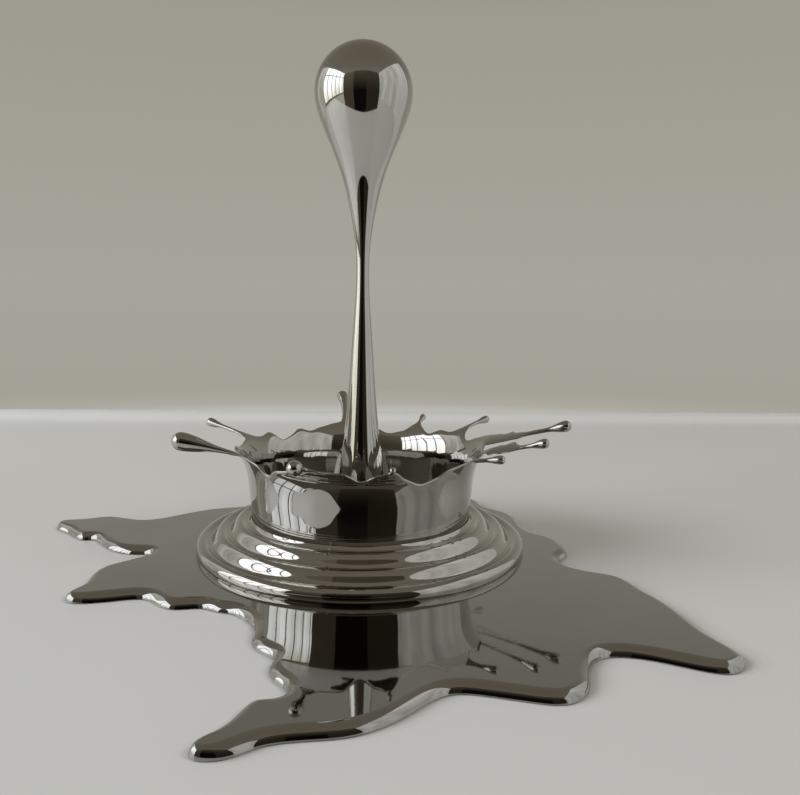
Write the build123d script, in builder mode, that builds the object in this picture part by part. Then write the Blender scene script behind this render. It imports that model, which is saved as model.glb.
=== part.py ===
from build123d import *
from math import cos, pi, radians, sin, sqrt, tan
import os

# Magnetic desk sculpture: a splash of liquid metal. A ripple ring stands on a flat puddle, and a
# splash crown and a teardrop jet stand in the ring. Every piece is held by magnets on steel.
# Millimetres, +Z up. The origin is on the desk, on the axis of the jet.

# Puddle
PAD_STAND = 0.4  # how far the pads hold the puddle off the desk
PUDDLE_TOP = 4.4
PUDDLE_EDGE = 2.4  # radius of the rolled upper edge
PUDDLE_CORNER_SHARE = 0.45  # share of the shorter run that a corner's arc takes up
PUDDLE_LEAST_TURN = radians(1.5)  # corners that turn less stay plain
PUDDLE_OUTLINE = [
    # right lobe, from its tip along the far side
    (152, -142), (150, -131), (146, -118), (144, -103), (141, -86), (136, -71), (131, -55),
    (122, -48), (111, -41), (106, -27), (113, -15), (114, -2), (110, 10), (101, 20), (98, 36),
    (97, 53), (91, 65), (83, 74), (80, 87),
    # far side, behind the ring
    (74, 98), (59, 107), (42, 104), (24, 99), (5, 104), (-15, 112), (-35, 106), (-52, 90),
    (-74, 77), (-92, 72), (-109, 62), (-122, 51), (-133, 47), (-144, 51), (-156, 54), (-169, 49),
    # upper left lobe and its near side
    (-182, 43), (-180, 35), (-171, 27), (-160, 16), (-154, 16), (-145, 6), (-136, -4), (-124, -9),
    (-116, -10),
    # lower left lobe
    (-113, -15), (-122, -26), (-132, -37), (-134, -50), (-134, -61), (-137, -73), (-132, -77),
    (-116, -75), (-101, -73), (-92, -81), (-84, -85), (-73, -84), (-65, -88), (-57, -91),
    (-49, -100), (-46, -108), (-45, -119), (-41, -128), (-34, -136), (-35, -143), (-32, -153),
    (-27, -161),
    # front lobe
    (-29, -168), (-37, -170), (-42, -178), (-47, -188), (-53, -196), (-53, -201), (-48, -203),
    (-40, -201), (-30, -195), (-10, -192), (1, -189), (13, -181), (24, -170), (34, -164),
    (47, -166), (60, -170), (73, -172), (83, -164), (88, -150), (95, -138), (104, -136),
    (115, -139), (128, -146), (140, -151), (147, -149),
]

# Steel target disc in the puddle
TARGET_R = 80.0
TARGET_THICK = 1.2
TARGET_SCREW_PCR = 50.0
SCREW_COUNT = 4
SCREW_SHANK_R = 1.25
SCREW_HEAD_R = 2.3
SCREW_HEAD_HEIGHT = 1.0
SCREW_LENGTH = 3.0
SCREW_SLOT_DEPTH = 0.4
SCREW_SLOT_WIDTH = 0.7

# Non-slip pads
PAD_THICK = 1.0
PAD_CENTRE_R = 30.0
PAD_R = 8.0
PAD_PLACES = [(128, -112), (92, -10), (48, 88), (-30, 92), (-152, 38), (-112, -52), (-26, -178)]

# Ripple ring
SEAT_GAP = 0.1  # play between pieces that only rest on each other
RING_R = 90.0
ROLL_R = 4.0
ROLL_Z = 6.48
RIPPLE_BASE_Z = 7.4
RIPPLE_SLOPE = 0.487
RIPPLE_HEIGHT = 1.4
RIPPLE_PITCH = 10.0
RIPPLE_CREST_R = 67.0
RING_LIP_R = 60.4
RING_LIP_DROP = 0.6
RING_MAGNET_COUNT = 6
RING_MAGNET_R = 6.0
RING_MAGNET_THICK = 5.0
RING_MAGNET_PCR = 72.0

# Steel seat plate in the ring
RECESS_R = 60.0
SEAT_R = 59.7
SEAT_Z = 14.4
SEAT_THICK = 2.0
SEAT_DISH_R = 19.3
SEAT_DISH_DEPTH = 0.6

# Crown
CROWN_OUTLINE = [
    (59.7, 20.4), (60.0, 24.4), (60.6, 29.4), (61.3, 36.4), (61.8, 42.4), (62.6, 47.4), (64.0, 51.9),
    (66.4, 56.4), (69.6, 59.9), (73, 62.9),
]
CROWN_WALL = 1.3
FLANGE_R = 36.0
FLANGE_THICK = 3.0
CROWN_MAGNET_COUNT = 6
CROWN_MAGNET_R = 4.0
CROWN_MAGNET_THICK = 2.2
CROWN_MAGNET_PCR = 48.0
# Height of the torn rim round the crown: azimuth in degrees from +X, height
RIM = [
    (-168, 58.9), (-152, 58.9), (-142, 56.9), (-137, 51.4), (-130, 55.9), (-112, 58.9), (-98, 58.4),
    (-90, 53.4), (-83, 57.4), (-76, 58.4), (-70, 53.4), (-63, 50.4), (-56, 52.4), (-48, 56.9),
    (-35, 58.4), (-27, 55.4), (-18, 59.4), (-8, 56.4), (2, 59.4), (14, 59.9), (22, 56.4),
    (31, 60.9), (39, 58.4), (45, 58.9), (51, 55.4), (59, 60.4), (66, 55.9), (75, 53.9),
    (84, 57.4), (92, 56.4), (102, 60.4), (112, 57.9), (119, 55.9), (125, 58.4), (131, 54.9),
    (138, 52.9), (144, 58.9), (151, 57.4), (161, 60.4), (175, 57.4),
]
RIM_HALF = len(RIM) // 2
RIM_CUT_R = (40, 100)
RIM_CUT_HEIGHT = 40
# Tendrils: azimuth at the rim, azimuth at the droplet, droplet's distance and height, droplet radius
TENDRILS = [
    (4, -3.5, 110.5, 73.2, 3.1),
    (-19, -17, 98.3, 67.6, 2.6),
    (-34, -31, 81.7, 61.2, 2.3),
    (31, 33, 89.8, 66.9, 2.1),
    (59, 60, 77.5, 64.9, 1.8),
    (102, 99, 92.0, 72.9, 2.9),
    (160, 157, 97.0, 65.2, 2.6),
    (-154, -162, 96.5, 66.4, 4.8),
    (-112, -112.5, 80.5, 63.2, 3.7),
    (-77, -78, 70.5, 61, 1.6),
]
TENDRIL_ROOT_R = 2.3
TENDRIL_NECK = 0.42  # neck radius as a share of the droplet's
TENDRIL_START_R = 65.6
TENDRIL_START_Z = 56.0
# Torn sheet that joins the roots of the right-hand tendrils, drawn in its own sloping plane:
# distance outwards from the rim, distance along it
SHEET = [
    (-7.5, 30), (4, 25), (16, 21), (21.5, 18), (18, 9), (5, 2), (18, -3), (28, -11), (24, -19),
    (9, -23), (-3, -26), (-7, -28), (-2.2, -14), (-0.8, 0), (-2.2, 14),
]
SHEET_AZIMUTH = -3.0
SHEET_Z = 57.4
SHEET_SLOPE = 0.36
SHEET_THICK = 1.1

# Jet
JET_FOOT_R = 18.9
JET_FOOT_EDGE = 0.8  # height of the foot's plain edge
JET_BULB_R = 25.7
JET_BULB_Z = 245.9
JET_PROFILE = [
    (15.3, 27.4), (12.7, 42.4), (9.4, 68.4), (7.0, 95.4), (4.9, 125.4), (3.5, 159.4),
    (5.3, 177.4), (8.6, 193.9), (12.9, 208.4), (18.1, 221.1), (22.2, 230.9), (24.7, 238.4),
]
POT_R = 13.0
POT_HEIGHT = 7.0
POT_WALL = 1.5
JET_MAGNET_GAP = 0.3
JET_SCREW_SHANK_R = 2.0
JET_SCREW_HEAD_R = 3.8
JET_SCREW_HEAD_HEIGHT = 2.0
JET_SCREW_LENGTH = 16.0

POCKET_PLAY = 0.1  # radial play of magnets, discs and pads in their pockets

# Worked-out heights
target_z = PUDDLE_TOP - TARGET_THICK
ring_z = PUDDLE_TOP + SEAT_GAP
seat_top = SEAT_Z + SEAT_THICK
crown_z = seat_top + SEAT_GAP
jet_z = seat_top - SEAT_DISH_DEPTH + SEAT_GAP


def polar_point(radius, azimuth, height):
    """A point at a distance from the axis, at an azimuth in degrees and a height."""
    return Vector(radius * cos(radians(azimuth)), radius * sin(radians(azimuth)), height)


def tilted_normal(azimuth, slope):
    """Normal of a plane that rises outwards along an azimuth at a slope."""
    return Vector(-slope * cos(radians(azimuth)), -slope * sin(radians(azimuth)), 1).normalized()


def rounded_outline(points, share):
    """Draw a closed outline of straight runs, each corner rounded by an arc tangent to both."""
    corners = [Vector(*point) for point in points]
    arcs = []
    for before, corner, after in zip(corners[-1:] + corners[:-1], corners, corners[1:] + corners[:1]):
        back, ahead = before - corner, after - corner
        cut = share * min(back.length, ahead.length)
        back, ahead = back.normalized(), ahead.normalized()
        half_turn = (pi - radians(back.get_angle(ahead))) / 2
        if 2 * half_turn < PUDDLE_LEAST_TURN:
            arcs.append((corner, corner, corner))
            continue
        rise = cut / tan(half_turn) * (1 / cos(half_turn) - 1)
        middle = corner + (back + ahead).normalized() * rise
        arcs.append((corner + back * cut, middle, corner + ahead * cut))
    for previous, (start, middle, end) in zip(arcs[-1:] + arcs[:-1], arcs):
        Line(previous[2], start)
        if start != end:
            ThreePointArc(start, middle, end)


def ripple_height(radius):
    """Height of the ring's rippled top at a distance from the axis."""
    slope = RIPPLE_BASE_Z + (RING_R - radius) * RIPPLE_SLOPE
    return slope + RIPPLE_HEIGHT * cos(2 * pi * (radius - RIPPLE_CREST_R) / RIPPLE_PITCH)


def save(piece, label):
    """Label a finished piece and write its STEP file."""
    piece.part.label = label
    export_step(piece.part, f"parts/{label}.step")


def screw_group(label, circle_r, top_z, shank_r, head_r, head_height, length, count):
    """Countersunk screws on a circle, heads flush with top_z."""
    with BuildPart() as screws:
        with PolarLocations(circle_r, count, start_angle=30):
            with Locations((0, 0, top_z - length / 2)):
                Cylinder(shank_r, length)
            with Locations((0, 0, top_z - head_height / 2)):
                Cone(shank_r, head_r, head_height)
            with Locations((0, 0, top_z - SCREW_SLOT_DEPTH / 2)):
                Box(2 * head_r, SCREW_SLOT_WIDTH, SCREW_SLOT_DEPTH, mode=Mode.SUBTRACT)
    save(screws, label)


os.makedirs("parts", exist_ok=True)

# Puddle: cast plate with a rolled edge, recessed for the target disc and the pads
with BuildPart() as puddle:
    with BuildSketch(Plane.XY.offset(PAD_STAND)):
        with BuildLine():
            rounded_outline(PUDDLE_OUTLINE, PUDDLE_CORNER_SHARE)
        make_face()
    extrude(amount=PUDDLE_TOP - PAD_STAND)
    fillet(puddle.faces().sort_by(Axis.Z)[-1].edges(), radius=PUDDLE_EDGE)
    with Locations((0, 0, PUDDLE_TOP - TARGET_THICK / 2)):
        Cylinder(TARGET_R + POCKET_PLAY, TARGET_THICK, mode=Mode.SUBTRACT)
    with PolarLocations(TARGET_SCREW_PCR, SCREW_COUNT, start_angle=30):
        with Locations((0, 0, PUDDLE_TOP - SCREW_LENGTH / 2)):
            Cylinder(SCREW_SHANK_R, SCREW_LENGTH, mode=Mode.SUBTRACT)
    with Locations((0, 0, PAD_THICK / 2)):
        Cylinder(PAD_CENTRE_R + POCKET_PLAY, PAD_THICK, mode=Mode.SUBTRACT)
    with Locations([(x, y, PAD_THICK / 2) for x, y in PAD_PLACES]):
        Cylinder(PAD_R + POCKET_PLAY, PAD_THICK, mode=Mode.SUBTRACT)
save(puddle, "puddle")

# Non-slip pads
with BuildPart() as foot_pad_centre:
    with Locations((0, 0, PAD_THICK / 2)):
        Cylinder(PAD_CENTRE_R, PAD_THICK)
save(foot_pad_centre, "foot_pad_centre")

for number, (x, y) in enumerate(PAD_PLACES, start=1):
    with BuildPart() as foot_pad:
        with Locations((x, y, PAD_THICK / 2)):
            Cylinder(PAD_R, PAD_THICK)
    save(foot_pad, f"foot_pad_{number}")

# Target disc: steel, flush with the puddle's top
with BuildPart() as target_disc:
    with Locations((0, 0, target_z + TARGET_THICK / 2)):
        Cylinder(TARGET_R, TARGET_THICK)
    with PolarLocations(TARGET_SCREW_PCR, SCREW_COUNT, start_angle=30):
        with Locations((0, 0, target_z + TARGET_THICK / 2)):
            Cylinder(SCREW_SHANK_R, TARGET_THICK, mode=Mode.SUBTRACT)
        with Locations((0, 0, PUDDLE_TOP - SCREW_HEAD_HEIGHT / 2)):
            Cone(SCREW_SHANK_R, SCREW_HEAD_R, SCREW_HEAD_HEIGHT, mode=Mode.SUBTRACT)
save(target_disc, "target_disc")
screw_group(
    "target_screws", TARGET_SCREW_PCR, PUDDLE_TOP, SCREW_SHANK_R, SCREW_HEAD_R, SCREW_HEAD_HEIGHT,
    SCREW_LENGTH, SCREW_COUNT,
)

# Ripple ring: a turned ring, its top in ripples down to a rounded outer roll
roll_centre_r = RING_R - ROLL_R
foot_r = roll_centre_r + sqrt(ROLL_R**2 - (ROLL_Z - ring_z) ** 2)
ripple_steps = 14
ripple_points = [
    (r, ripple_height(r))
    for r in [RING_LIP_R + (roll_centre_r - RING_LIP_R) * i / ripple_steps for i in range(ripple_steps + 1)]
]
with BuildPart() as ripple_ring:
    with BuildSketch(Plane.XZ):
        with BuildLine():
            top = Spline(*ripple_points)
            roll = ThreePointArc(top @ 1, (RING_R, ROLL_Z), (foot_r, ring_z))
            Polyline(
                roll @ 1, (0, ring_z), (0, SEAT_Z), (RECESS_R, SEAT_Z),
                (RECESS_R, ripple_points[0][1] - RING_LIP_DROP), top @ 0,
            )
        make_face()
    revolve(axis=Axis.Z)
    with PolarLocations(RING_MAGNET_PCR, RING_MAGNET_COUNT):
        with Locations((0, 0, ring_z + RING_MAGNET_THICK / 2)):
            Cylinder(RING_MAGNET_R + POCKET_PLAY, RING_MAGNET_THICK, mode=Mode.SUBTRACT)
    with PolarLocations(TARGET_SCREW_PCR, SCREW_COUNT, start_angle=30):
        with Locations((0, 0, seat_top - SCREW_LENGTH / 2)):
            Cylinder(SCREW_SHANK_R, SCREW_LENGTH, mode=Mode.SUBTRACT)
save(ripple_ring, "ripple_ring")

for number in range(1, RING_MAGNET_COUNT + 1):
    azimuth = 360 / RING_MAGNET_COUNT * (number - 1)
    place = polar_point(RING_MAGNET_PCR, azimuth, ring_z + RING_MAGNET_THICK / 2)
    with BuildPart() as ring_magnet:
        with Locations(place):
            Cylinder(RING_MAGNET_R, RING_MAGNET_THICK)
    save(ring_magnet, f"ring_magnet_{number}")

# Seat plate: steel, with a shallow dish that centres the jet
with BuildPart() as seat_plate:
    with Locations((0, 0, SEAT_Z + SEAT_THICK / 2)):
        Cylinder(SEAT_R, SEAT_THICK)
    with Locations((0, 0, seat_top - SEAT_DISH_DEPTH / 2)):
        Cylinder(SEAT_DISH_R, SEAT_DISH_DEPTH, mode=Mode.SUBTRACT)
    with PolarLocations(TARGET_SCREW_PCR, SCREW_COUNT, start_angle=30):
        with Locations((0, 0, SEAT_Z + SEAT_THICK / 2)):
            Cylinder(SCREW_SHANK_R, SEAT_THICK, mode=Mode.SUBTRACT)
        with Locations((0, 0, seat_top - SCREW_HEAD_HEIGHT / 2)):
            Cone(SCREW_SHANK_R, SCREW_HEAD_R, SCREW_HEAD_HEIGHT, mode=Mode.SUBTRACT)
save(seat_plate, "seat_plate")
screw_group(
    "seat_screws", TARGET_SCREW_PCR, seat_top, SCREW_SHANK_R, SCREW_HEAD_R, SCREW_HEAD_HEIGHT,
    SCREW_LENGTH, SCREW_COUNT,
)

# Crown: flaring wall on a base flange, its rim torn to the heights in RIM
with BuildPart() as crown:
    with BuildSketch(Plane.XZ):
        with BuildLine():
            base = Line((CROWN_OUTLINE[0][0], crown_z), CROWN_OUTLINE[0])
            outer = Spline(*CROWN_OUTLINE, tangents=[(0, 1), (1, 0.8)])
            inner = Spline(
                *[(r - CROWN_WALL, z + 0.4) for r, z in CROWN_OUTLINE], tangents=[(0, 1), (1, 0.8)]
            )
            Line(outer @ 1, inner @ 1)
            Polyline(
                inner @ 0, (CROWN_OUTLINE[0][0] - CROWN_WALL, crown_z + FLANGE_THICK),
                (FLANGE_R, crown_z + FLANGE_THICK), (FLANGE_R, crown_z), base @ 0,
            )
        make_face()
    revolve(axis=Axis.Z)
    with PolarLocations(CROWN_MAGNET_PCR, CROWN_MAGNET_COUNT):
        with Locations((0, 0, crown_z + CROWN_MAGNET_THICK / 2)):
            Cylinder(CROWN_MAGNET_R + POCKET_PLAY, CROWN_MAGNET_THICK, mode=Mode.SUBTRACT)

    # everything above the torn rim is cut away by two blocks with wavy undersides
    for stretch in (RIM[: RIM_HALF + 1], RIM[RIM_HALF:] + [(RIM[0][0] + 360, RIM[0][1])]):
        rows = [[polar_point(r, azimuth, height) for azimuth, height in stretch] for r in RIM_CUT_R]
        rim_sheet = Face.make_surface_from_array_of_points(rows)
        extrude(rim_sheet, amount=RIM_CUT_HEIGHT, dir=(0, 0, 1), mode=Mode.SUBTRACT)

    for root_azimuth, tip_azimuth, tip_r, tip_z, droplet_r in TENDRILS:
        root = polar_point(TENDRIL_START_R, root_azimuth, TENDRIL_START_Z)
        tip = polar_point(tip_r, tip_azimuth, tip_z)
        along = (tip - root).normalized()
        neck_r = TENDRIL_NECK * droplet_r
        for share, radius in [(0, TENDRIL_ROOT_R), (0.45, neck_r * 1.15), (1, neck_r)]:
            with BuildSketch(Plane(origin=root + (tip - root) * share, z_dir=along)):
                Circle(radius)
        loft()
        with Locations(tip):
            Sphere(droplet_r)
    sheet_middle = polar_point(TENDRIL_START_R, SHEET_AZIMUTH, SHEET_Z)
    sheet_plane = Plane(
        origin=sheet_middle,
        x_dir=polar_point(1, SHEET_AZIMUTH, SHEET_SLOPE),
        z_dir=tilted_normal(SHEET_AZIMUTH, SHEET_SLOPE),
    )
    with BuildSketch(sheet_plane):
        Polygon(*SHEET, align=None)
    extrude(amount=SHEET_THICK / 2, both=True)
save(crown, "crown")

for number in range(1, CROWN_MAGNET_COUNT + 1):
    azimuth = 360 / CROWN_MAGNET_COUNT * (number - 1)
    place = polar_point(CROWN_MAGNET_PCR, azimuth, crown_z + CROWN_MAGNET_THICK / 2)
    with BuildPart() as crown_magnet:
        with Locations(place):
            Cylinder(CROWN_MAGNET_R, CROWN_MAGNET_THICK)
    save(crown_magnet, f"crown_magnet_{number}")

# Jet: turned teardrop on a spreading stem, bored underneath for its magnet
with BuildPart() as jet:
    with BuildSketch(Plane.XZ):
        with BuildLine():
            stem = Spline((JET_FOOT_R, jet_z + JET_FOOT_EDGE), *JET_PROFILE, (JET_BULB_R, JET_BULB_Z))
            ThreePointArc(
                stem @ 1,
                (JET_BULB_R * cos(pi / 4), JET_BULB_Z + JET_BULB_R * sin(pi / 4)),
                (0, JET_BULB_Z + JET_BULB_R),
            )
            Polyline((0, JET_BULB_Z + JET_BULB_R), (0, jet_z), (JET_FOOT_R, jet_z), stem @ 0)
        make_face()
    revolve(axis=Axis.Z)
    with Locations((0, 0, jet_z + POT_HEIGHT / 2)):
        Cylinder(POT_R + POCKET_PLAY, POT_HEIGHT, mode=Mode.SUBTRACT)
    with Locations((0, 0, jet_z + JET_SCREW_LENGTH / 2)):
        Cylinder(JET_SCREW_SHANK_R, JET_SCREW_LENGTH, mode=Mode.SUBTRACT)
save(jet, "jet")

# Steel cup, open downwards, that carries the jet's ring magnet
magnet_r = POT_R - POT_WALL - JET_MAGNET_GAP
magnet_height = POT_HEIGHT - POT_WALL
with BuildPart() as jet_pot:
    with Locations((0, 0, jet_z + POT_HEIGHT / 2)):
        Cylinder(POT_R, POT_HEIGHT)
    with Locations((0, 0, jet_z + magnet_height / 2)):
        Cylinder(POT_R - POT_WALL, magnet_height, mode=Mode.SUBTRACT)
    with Locations((0, 0, jet_z + POT_HEIGHT / 2)):
        Cylinder(JET_SCREW_SHANK_R, POT_HEIGHT, mode=Mode.SUBTRACT)
save(jet_pot, "jet_pot")

with BuildPart() as jet_magnet:
    with Locations((0, 0, jet_z + magnet_height / 2)):
        Cylinder(magnet_r, magnet_height)
        Cylinder(JET_SCREW_SHANK_R, magnet_height, mode=Mode.SUBTRACT)
    with Locations((0, 0, jet_z + JET_SCREW_HEAD_HEIGHT / 2)):
        Cone(JET_SCREW_HEAD_R, JET_SCREW_SHANK_R, JET_SCREW_HEAD_HEIGHT, mode=Mode.SUBTRACT)
save(jet_magnet, "jet_magnet")

with BuildPart() as jet_screw:
    with Locations((0, 0, jet_z + JET_SCREW_LENGTH / 2)):
        Cylinder(JET_SCREW_SHANK_R, JET_SCREW_LENGTH)
    with Locations((0, 0, jet_z + JET_SCREW_HEAD_HEIGHT / 2)):
        Cone(JET_SCREW_HEAD_R, JET_SCREW_SHANK_R, JET_SCREW_HEAD_HEIGHT)
    with Locations((0, 0, jet_z + SCREW_SLOT_DEPTH / 2)):
        Box(2 * JET_SCREW_HEAD_R, SCREW_SLOT_WIDTH, SCREW_SLOT_DEPTH, mode=Mode.SUBTRACT)
save(jet_screw, "jet_screw")
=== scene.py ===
# Magnetic desk sculpture: a splash of liquid metal. A ripple ring stands on a puddle, and a splash
# crown and a teardrop jet stand in the ring. Lengths are millimetres until a mesh is made.
from math import asin, cos, pi, radians, sin

import bmesh
import bpy
import numpy as np
from mathutils import Matrix, Vector, geometry


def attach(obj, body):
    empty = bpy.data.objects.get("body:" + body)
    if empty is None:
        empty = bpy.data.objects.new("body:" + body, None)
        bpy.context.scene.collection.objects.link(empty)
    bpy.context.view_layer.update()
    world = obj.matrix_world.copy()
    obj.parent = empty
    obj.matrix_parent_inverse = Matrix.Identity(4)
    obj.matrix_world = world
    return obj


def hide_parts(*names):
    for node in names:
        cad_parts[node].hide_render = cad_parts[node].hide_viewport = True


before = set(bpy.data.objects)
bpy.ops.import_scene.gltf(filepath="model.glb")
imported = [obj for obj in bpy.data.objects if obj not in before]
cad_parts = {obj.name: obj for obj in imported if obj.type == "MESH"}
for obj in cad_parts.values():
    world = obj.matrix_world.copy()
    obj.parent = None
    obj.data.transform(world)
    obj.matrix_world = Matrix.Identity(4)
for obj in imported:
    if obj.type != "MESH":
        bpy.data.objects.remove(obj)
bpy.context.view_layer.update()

MM = 0.001

# ---------------------------------------------------------------- sizes shared with the CAD model
PAD_STAND = 0.4
PUDDLE_TOP = 4.4
PUDDLE_OUTLINE = [
    # right lobe, from its tip along the far side
    (152, -142), (150, -131), (146, -118), (144, -103), (141, -86), (136, -71), (131, -55),
    (122, -48), (111, -41), (106, -27), (113, -15), (114, -2), (110, 10), (101, 20), (98, 36),
    (97, 53), (91, 65), (83, 74), (80, 87),
    # far side, behind the ring
    (74, 98), (59, 107), (42, 104), (24, 99), (5, 104), (-15, 112), (-35, 106), (-52, 90),
    (-74, 77), (-92, 72), (-109, 62), (-122, 51), (-133, 47), (-144, 51), (-156, 54), (-169, 49),
    # upper left lobe and its near side
    (-182, 43), (-180, 35), (-171, 27), (-160, 16), (-154, 16), (-145, 6), (-136, -4), (-124, -9),
    (-116, -10),
    # lower left lobe
    (-113, -15), (-122, -26), (-132, -37), (-134, -50), (-134, -61), (-137, -73), (-132, -77),
    (-116, -75), (-101, -73), (-92, -81), (-84, -85), (-73, -84), (-65, -88), (-57, -91),
    (-49, -100), (-46, -108), (-45, -119), (-41, -128), (-34, -136), (-35, -143), (-32, -153),
    (-27, -161),
    # front lobe
    (-29, -168), (-37, -170), (-42, -178), (-47, -188), (-53, -196), (-53, -201), (-48, -203),
    (-40, -201), (-30, -195), (-10, -192), (1, -189), (13, -181), (24, -170), (34, -164),
    (47, -166), (60, -170), (73, -172), (83, -164), (88, -150), (95, -138), (104, -136),
    (115, -139), (128, -146), (140, -151), (147, -149),
]
TARGET_R, TARGET_Z = 80.1, 3.2
SCREW_PCR, SCREW_R, SCREW_COUNT, SCREW_START = 50.0, 1.25, 4, 30
PUDDLE_SCREW_Z = 1.4
PAD_ROOF_Z = 1.0
PAD_CENTRE_R, PAD_R = 30.1, 8.1
PAD_PLACES = [(128, -112), (92, -10), (48, 88), (-30, 92), (-152, 38), (-112, -52), (-26, -178)]

RING_Z, RING_R, ROLL_R, ROLL_Z = 4.5, 90.0, 4.0, 6.48
RIPPLE_BASE_Z, RIPPLE_SLOPE, RIPPLE_HEIGHT, RIPPLE_PITCH, RIPPLE_CREST_R = 7.4, 0.487, 1.4, 10.0, 67.0
RING_LIP_R, RING_LIP_DROP = 60.15, 0.3
RECESS_R, SEAT_Z = 60.0, 14.4
RING_MAGNET_R, RING_MAGNET_THICK, RING_MAGNET_PCR = 6.1, 5.0, 72.0
RING_SCREW_Z = 13.4
MAGNET_COUNT = 6

CROWN_Z = 16.5
CROWN_OUTLINE = [
    (59.7, 16.5), (59.7, 20.4), (60.0, 24.4), (60.6, 29.4), (61.3, 36.4), (61.8, 42.4), (62.6, 47.4),
    (64.0, 51.9), (66.4, 56.4), (69.6, 59.9), (73, 62.9),
]
CROWN_WALL = 1.3
FLANGE_R, FLANGE_TOP = 36.0, 19.5
CROWN_MAGNET_R, CROWN_MAGNET_THICK, CROWN_MAGNET_PCR = 4.1, 2.2, 48.0
# The torn rim: azimuth and height of its peaks and notches. Behind the jet it is finer than the CAD's.
RIM = [
    (-168, 58.9), (-152, 58.9), (-142, 56.9), (-137, 51.4), (-130, 55.9), (-112, 58.9), (-98, 58.4),
    (-90, 53.4), (-83, 57.4), (-76, 58.4), (-70, 53.4), (-63, 50.4), (-56, 52.4), (-48, 56.9),
    (-35, 58.4), (-27, 55.4), (-18, 59.4), (-8, 56.4), (2, 59.4), (14, 59.9), (22, 56.4),
    (31, 60.9), (39, 58.4), (45, 58.9), (51, 55.4), (59, 60.4), (66, 55.9), (75, 53.9),
    (84, 57.4), (92, 57.4), (98, 60.2), (104, 59.6), (112, 57.9), (119, 55.9), (125, 58.4), (131, 54.9),
    (138, 52.9), (144, 58.9), (151, 57.4), (161, 59.0), (175, 57.4),
]

JET_Z, JET_FOOT_R, JET_FOOT_EDGE = 15.9, 18.9, 0.8
JET_BULB_R, JET_BULB_Z = 25.7, 245.9
JET_PROFILE = [
    (15.3, 27.4), (12.7, 42.4), (9.4, 68.4), (7.0, 95.4), (4.9, 125.4), (3.5, 159.4),
    (5.3, 177.4), (8.6, 193.9), (12.9, 208.4), (18.1, 221.1), (22.2, 230.9), (24.7, 238.4),
]
JET_POT_R, JET_POT_HEIGHT, JET_SCREW_R, JET_SCREW_LENGTH = 13.1, 7.0, 2.0, 16.0

# ---------------------------------------------------------------- fineness of the visual meshes
OUTLINE_STEP = 1.2
SPAN_POINTS = 32
LATHE_STEPS, JET_STEPS = 240, 160
HOLE_STEPS, SCREW_HOLE_STEPS, CENTRE_PAD_STEPS = 48, 24, 96
GRID_STEP, GRID_ROW = 9.0, 0.87  # spacing in a flat region, and between its rows as a share of that


# ---------------------------------------------------------------- curves
def smooth_curve(points, power=1.0, per_span=SPAN_POINTS):
    """Dense points on the natural cubic spline through points."""
    p = np.array(points, float)
    t = np.concatenate([[0], np.cumsum(np.linalg.norm(np.diff(p, axis=0), axis=1) ** power)])
    h = np.diff(t)
    n = len(p)
    a, b = np.zeros((n, n)), np.zeros_like(p)
    a[0, 0] = a[-1, -1] = 1
    for i in range(1, n - 1):
        a[i, i - 1:i + 2] = h[i - 1], 2 * (h[i - 1] + h[i]), h[i]
        b[i] = 6 * ((p[i + 1] - p[i]) / h[i] - (p[i] - p[i - 1]) / h[i - 1])
    m = np.linalg.solve(a, b)
    v = np.linspace(0, 1, per_span, endpoint=False)[:, None]
    u = 1 - v
    spans = [
        u * p[i] + v * p[i + 1] + h[i] ** 2 / 6 * ((u**3 - u) * m[i] + (v**3 - v) * m[i + 1])
        for i in range(n - 1)
    ]
    return np.concatenate([*spans, p[-1:]])


def even(points, step):
    """Points at an even spacing near step along dense points."""
    length = np.concatenate([[0], np.cumsum(np.linalg.norm(np.diff(points, axis=0), axis=1))])
    at = np.linspace(0, length[-1], max(2, round(length[-1] / step) + 1))
    return np.stack([np.interp(at, length, points[:, k]) for k in range(points.shape[1])], 1)


def closed_curve(points, step):
    """Evenly spaced points on a smooth closed curve through points."""
    wrap = 8
    wrapped = points[-wrap:] + points + points[:wrap + 1]
    dense = smooth_curve(wrapped, power=0.5)
    return even(dense[wrap * SPAN_POINTS:(wrap + len(points)) * SPAN_POINTS + 1], step)[:-1]


def circle(radius, z, steps=HOLE_STEPS, centre=(0, 0)):
    """Points round a level circle."""
    return [
        (centre[0] + radius * cos(2 * pi * k / steps), centre[1] + radius * sin(2 * pi * k / steps), z)
        for k in range(steps)
    ]


def around(radius, count, start=0):
    """Evenly spaced places on a circle."""
    return [
        (radius * cos(radians(start + 360 * k / count)), radius * sin(radians(start + 360 * k / count)))
        for k in range(count)
    ]


# ---------------------------------------------------------------- meshes
def link(name, data):
    """A new object in the scene."""
    piece = bpy.data.objects.new(name, data)
    bpy.context.scene.collection.objects.link(piece)
    return piece


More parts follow.
